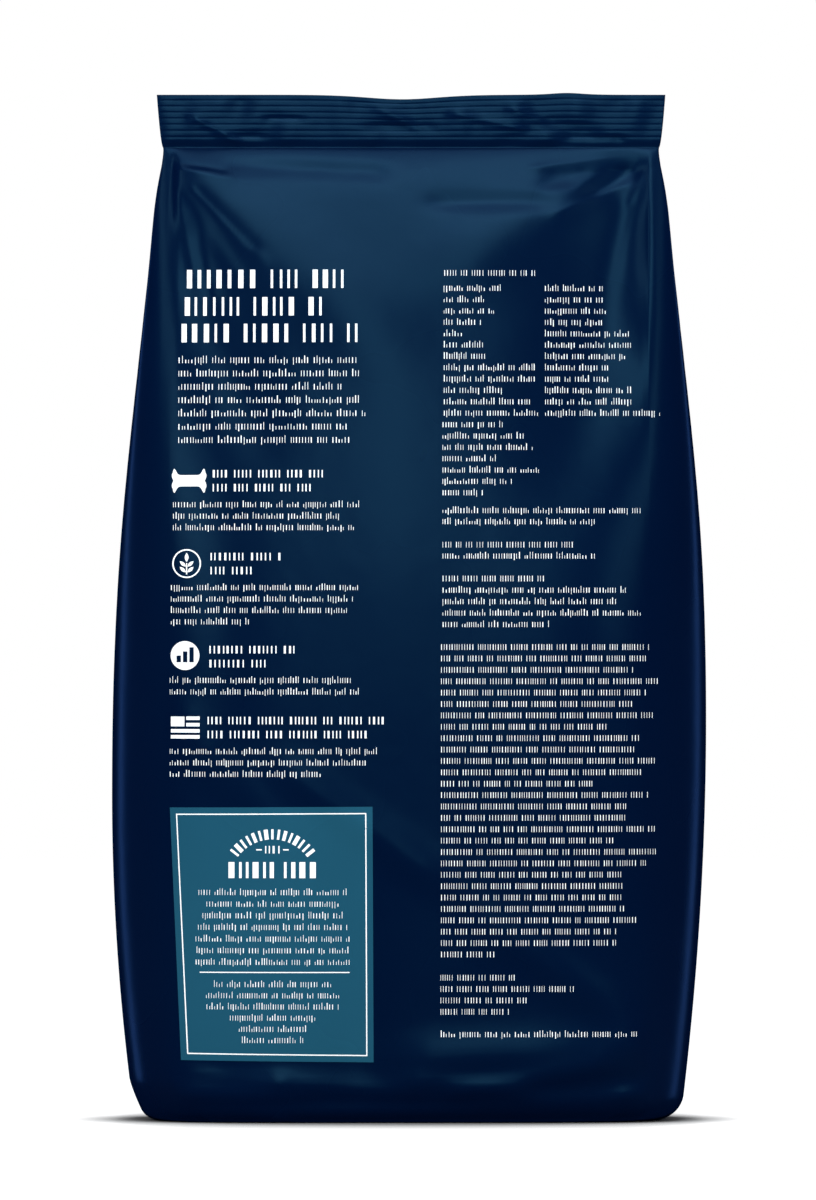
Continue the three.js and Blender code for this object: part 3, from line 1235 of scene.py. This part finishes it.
@dataclass
class PanelPrint:
    """White print on the film: a heading, two columns of rows and four small pictures."""

    form: PouchForm
    finish: LaminateFinish
    film: LaminateFinish
    seed: int = 7
    lift: float = 0.10
    cutout: Pair = (0.14, -0.08)  # lift and depth of what lies on the pictures
    bone_place: Pair = (-85.2, 248.5)
    bone_size: Pair = (14.2, 8.4)
    sprig_place: Pair = (-86.1, 216.4)
    ring_radii: Pair = (5.05, 5.6)
    top_leaf: tuple[float, float, float] = (0.6, 3.6, 1.5)  # height over the sprig's middle, length, width
    side_leaves: Pair = (-3.4, -1.2)  # heights of the two pairs
    side_leaf: Four = (0.3, 3.2, 1.3, 48)  # offset, length, width, lean
    stem: Four = (-86.35, 212.2, -85.85, 216.6)
    disc_place: Pair = (-86.7, 180.8)
    disc_radius: float = 5.6
    chart_bars: tuple[Pair, ...] = ((-90.0, 2.6), (-87.5, 4.2), (-85.0, 5.8))  # left edge, height
    chart_low: float = 178.2
    bar_width: float = 1.7
    block: Four = (-92.2, 153.4, -86.9, 157.2)
    stripes: tuple[Pair, ...] = ((-86.2, 155.9), (-86.2, 153.4), (-92.2, 151.0), (-92.2, 148.7))  # left, low
    stripes_right: float = -81.0
    stripe_height: float = 1.35

    def build(self) -> list[Object]:
        """Makes the pieces of print.

        Returns:
            The heading, the rows, the pictures and the part of one picture that shows the film.
        """
        rng = np.random.default_rng(self.seed)
        heading, rows = Ink(self.form, self.lift), Ink(self.form, self.lift)
        for ink, blocks in ((heading, HEADINGS), (rows, LEFT_ROWS + RIGHT_ROWS)):
            for block in blocks:
                ink.add_block(block, rng)
        return [
            heading.build("print_heading", self.finish, "white_ink"),
            rows.build("print_rows", self.finish, "white_ink"),
            self.pictures().build("print_pictures", self.finish, "white_ink"),
            self.knocked_out().build("print_cutout", self.film, "printed_film"),
        ]

    def pictures(self) -> Ink:
        """Draws a bone, a sprig in a ring, a disc, and a block with stripes.

        Returns:
            Their layer.
        """
        ink = Ink(self.form, self.lift)
        ink.add_grid(bone(self.bone_place, *self.bone_size))
        ink.add_grid(ring(self.sprig_place, *self.ring_radii), round_about=True)
        x, z = self.sprig_place
        up, length, width = self.top_leaf
        ink.add_grid(leaf((x, z + up), length, width, 0))
        offset, length, width, lean = self.side_leaf
        for side in (-1, 1):
            for step in self.side_leaves:
                ink.add_grid(leaf((x + side * offset, z + step), length, width, side * lean))
        ink.add_plate(*self.stem, 1, 2)
        ink.add_grid(disc(self.disc_place, self.disc_radius))
        ink.add_plate(*self.block, 2, 2)
        for left, low in self.stripes:
            ink.add_plate(left, low, self.stripes_right, low + self.stripe_height, 4, 1)
        return ink

    def knocked_out(self) -> Ink:
        """Draws three rising bars of bare film on the disc.

        Returns:
            Their layer.
        """
        ink = Ink(self.form, *self.cutout)
        for left, height in self.chart_bars:
            ink.add_plate(left, self.chart_low, left + self.bar_width, self.chart_low + height, 1, 3)
        return ink


@dataclass
class TealPanel:
    """The blue-green field at the lower left, with a thin frame and its own print."""

    form: PouchForm
    field: LaminateFinish
    print_finish: LaminateFinish
    seed: int = 11
    corners: tuple[Pair, ...] = ((-88.3, 24.2), (-13.7, 23.5), (-14.1, 122.4), (-92.6, 122.0))
    cells: tuple[int, int] = (60, 70)
    inset: float = 2.4
    line: float = 0.45
    line_cells: int = 24
    field_lift: float = 0.15
    print_layer: Pair = (0.21, -0.10)  # lift and depth of the print on the field
    arch_radius: float = 16.6
    arch_height: float = 3.9
    arch_centre: float = 93.2
    arch_signs: int = 15
    arch_strokes: tuple[float, ...] = (0.9, 1.6, 0.9, 0.9, 1.3)
    arch_reach: float = 52.0  # degrees to each side of upright
    dash_place: float = 5.2  # dashes to each side of the strong row
    dash_half: float = 1.1
    dash_heights: Pair = (105.5, 106.0)
    rule: Four = (-81, 58.1, -23, 58.5)
    rule_cells: tuple[int, int] = (16, 1)

    def frame_lines(self, ink: Ink) -> None:
        """Adds the four thin lines of the frame.

        Args:
            ink: The layer they go into.
        """
        inward = np.array([(1, 1), (-1, 1), (-1, -1), (1, -1)])
        insets = np.array([self.inset, self.inset + self.line])[:, None, None]
        around = np.array(self.corners) + inward * insets
        closed = np.concatenate([around, around[:, :1]], axis=1)
        steps = np.linspace(0, 1, self.line_cells, endpoint=False)[:, None]
        sides = [mix(closed[:, side, None], closed[:, side + 1, None], steps) for side in range(4)]
        ink.add_grid(np.concatenate(sides, axis=1), round_about=True)

    def arch(self) -> Array:
        """Strokes set round an arc, each turned to stand on it.

        Returns:
            Bars as corners (4, 2).
        """
        turns = np.radians(np.linspace(-self.arch_reach, self.arch_reach, self.arch_signs))[:, None]
        half = np.resize(self.arch_strokes, self.arch_signs) / 2
        low, high = np.full_like(half, self.arch_radius), np.full_like(half, self.arch_radius + self.arch_height)
        upright = corners(-half, low, half, high)
        x, z = upright[..., 0], upright[..., 1]
        turned_x = FIELD_MIDDLE + x * np.cos(turns) + z * np.sin(turns)
        turned_z = self.arch_centre - x * np.sin(turns) + z * np.cos(turns)
        return np.stack([turned_x, turned_z], axis=-1)

    def build(self) -> list[Object]:
        """Makes the field and its print.

        Returns:
            The two pieces.
        """
        rng = np.random.default_rng(self.seed)
        field = Ink(self.form, self.field_lift)
        field.add_grid(patch(self.corners, *self.cells))
        ink = Ink(self.form, *self.print_layer)
        self.frame_lines(ink)
        ink.add_bars(self.arch())
        low, high = self.dash_heights
        for place in (FIELD_MIDDLE - self.dash_place, FIELD_MIDDLE + self.dash_place):
            ink.add_bars(corners(place - self.dash_half, low, place + self.dash_half, high))
        for block in FIELD_ROWS:
            ink.add_block(block, rng)
        ink.add_plate(*self.rule, *self.rule_cells)
        return [
            field.build("print_field", self.field, "teal_ink"),
            ink.build("print_field_rows", self.print_finish, "white_ink"),
        ]


@dataclass(frozen=True)
class Softbox:
    """A flat lamp that faces a point of the pouch."""

    name: str
    place: tuple[float, float, float]  # metres
    size: Pair
    radiance: float
    colour: str = "#ffffff"
    aim: tuple[float, float, float] = (0.0, 0.0, 0.22)

    def build(self) -> Object:
        """Adds the lamp, whose power is its radiance times pi times its area.

        Returns:
            The lamp.
        """
        lamp = bpy.data.lights.new(self.name, "AREA")
        lamp.shape = "RECTANGLE"
        lamp.size, lamp.size_y = self.size
        lamp.energy = self.radiance * math.pi * self.size[0] * self.size[1]
        lamp.color = srgb(self.colour)[:3]
        holder = put(self.name, lamp)
        holder.location = self.place
        holder.rotation_euler = (Vector(self.aim) - Vector(self.place)).to_track_quat("-Z", "Y").to_euler()
        holder.visible_camera = False
        return holder


@dataclass
class Studio:
    """White sweep, soft lamps and the camera. The sweep's sizes are in millimetres, the camera's in metres."""

    floor_half: float = 6000.0
    floor_drop: float = 0.15
    wall_radius: float = 9000.0
    wall_height: float = 9000.0
    wall_grid: tuple[int, int] = (48, 25)  # columns and rows
    wall_power: float = 0.4
    fill: float = 0.36
    camera_distance: float = 6.0
    camera_height: float = 0.2023
    camera_right: float = -0.0004
    view_height: float = 0.468  # of the frame, at the pouch
    sensor: float = 36.0  # mm
    clip_end: float = 100.0
    lamps: tuple[Softbox, ...] = (
        Softbox("key_softbox", (0.0, -1.84, 1.80), (0.65, 2.6), 6.1),
        Softbox("front_card", (0.0, -3.2, 0.46), (0.75, 0.64), 2.3),
        Softbox("top_softbox", (0.0, -0.75, 2.35), (1.3, 1.1), 4.6, "#c4e0ff"),
        Softbox("left_softbox", (-1.38, -1.77, 0.80), (0.72, 0.6), 6.6),
        Softbox("right_softbox", (1.38, -1.77, 0.80), (0.72, 0.6), 3.0),
        Softbox("left_upper_card", (-1.45, -1.44, 1.75), (0.48, 1.5), 3.8),
        Softbox("right_upper_card", (1.45, -1.44, 1.75), (0.48, 1.5), 1.9),
        Softbox("left_strip", (-1.42, 1.1, 0.45), (0.4, 1.5), 2.8, "#5f98ff"),
        Softbox("right_strip", (1.42, 1.1, 0.45), (0.4, 1.5), 2.6, "#5f98ff"),
    )

    def floor(self) -> Object:
        """Adds the paper just under the base.

        Returns:
            The floor.
        """
        half = self.floor_half
        points = np.array([[x, y, -self.floor_drop] for x, y in corners(-half, -half, half, half)[0]])
        piece = add_mesh("studio_floor", points, [[0, 1, 2, 3]], SweepFinish().material(), smooth=False)
        piece.visible_glossy = False
        return piece

    def walls(self) -> Object:
        """Adds dark cloth all round outside the lamps, which only the gloss of the film mirrors.

        The wall is a circle carried from the bottom to the top of a barrel: its radius is a cosine to a
        small power of the height, so it closes over the lamps and under the floor.

        Returns:
            The walls.
        """
        columns, rows = self.wall_grid
        column = np.arange(columns)
        turn = 2 * math.pi * column / columns
        rise = np.linspace(-1, 1, rows)[:, None]
        radius = self.wall_radius * np.abs(np.cos(rise * math.pi / 2)) ** self.wall_power
        points = np.stack([radius * np.cos(turn), radius * np.sin(turn), self.wall_height * rise + 0 * turn], axis=-1)
        first = (np.arange(rows - 1) * columns)[:, None]
        here, after = first + column, first + (column + 1) % columns
        faces = np.stack([here, here + columns, after + columns, after], axis=-1).reshape(-1, 4)
        piece = add_mesh("studio_walls", points, faces.tolist(), ClothFinish().material(), smooth=True)
        for ray in ("camera", "diffuse", "transmission", "shadow"):
            setattr(piece, f"visible_{ray}", False)
        return piece

    def world(self) -> None:
        """Sets a grey that lights the pouch evenly and is white where it is seen."""
        world = bpy.data.worlds.new("studio_world")
        bpy.context.scene.world = world
        world.use_nodes = True
        tree = world.node_tree
        tree.nodes.clear()
        ends = {"To Min": self.fill, "To Max": 1.0}
        level = add_node(tree, "ShaderNodeMapRange", {"Value": seen_directly(tree), **ends})["Result"]
        sky = add_node(tree, "ShaderNodeBackground", {"Color": WHITE, "Strength": level})["Background"]
        add_node(tree, "ShaderNodeOutputWorld", {"Surface": sky})

    def camera(self) -> Object:
        """Adds the camera, level and square on to the printed panel.

        Returns:
            The camera.
        """
        data = bpy.data.cameras.new("camera")
        data.sensor_width = self.sensor
        data.lens = self.sensor * self.camera_distance / self.view_height
        data.clip_end = self.clip_end
        camera = put("camera", data)
        camera.location = (self.camera_right, -self.camera_distance, self.camera_height)
        camera.rotation_euler = (math.pi / 2, 0, 0)
        bpy.context.scene.camera = camera
        return camera

    def build(self) -> None:
        """Adds everything round the pouch."""
        self.floor()
        self.walls()
        self.world()
        for lamp in self.lamps:
            lamp.build()
        self.camera()
        bpy.context.scene.view_settings.view_transform = "Standard"
        LOG.info("studio: %d lamps", len(self.lamps))


def main() -> None:
    """Builds the pouch, its print and the studio."""
    logging.basicConfig(level=logging.INFO, format="%(name)s %(message)s")
    form = PouchForm()
    film = LaminateFinish("navy_printed_laminate", "#000b26", deeper="#000e2a")
    white = LaminateFinish("white_printed_laminate", "#eef1f2", tint="#ffffff")
    teal = LaminateFinish("teal_printed_laminate", "#17465b", deeper="#1b4c61")
    Pouch(form, film).build()
    PanelPrint(form, white, film).build()
    TealPanel(form, teal, white).build()
    Studio().build()


if __name__ == "__main__":
    main()
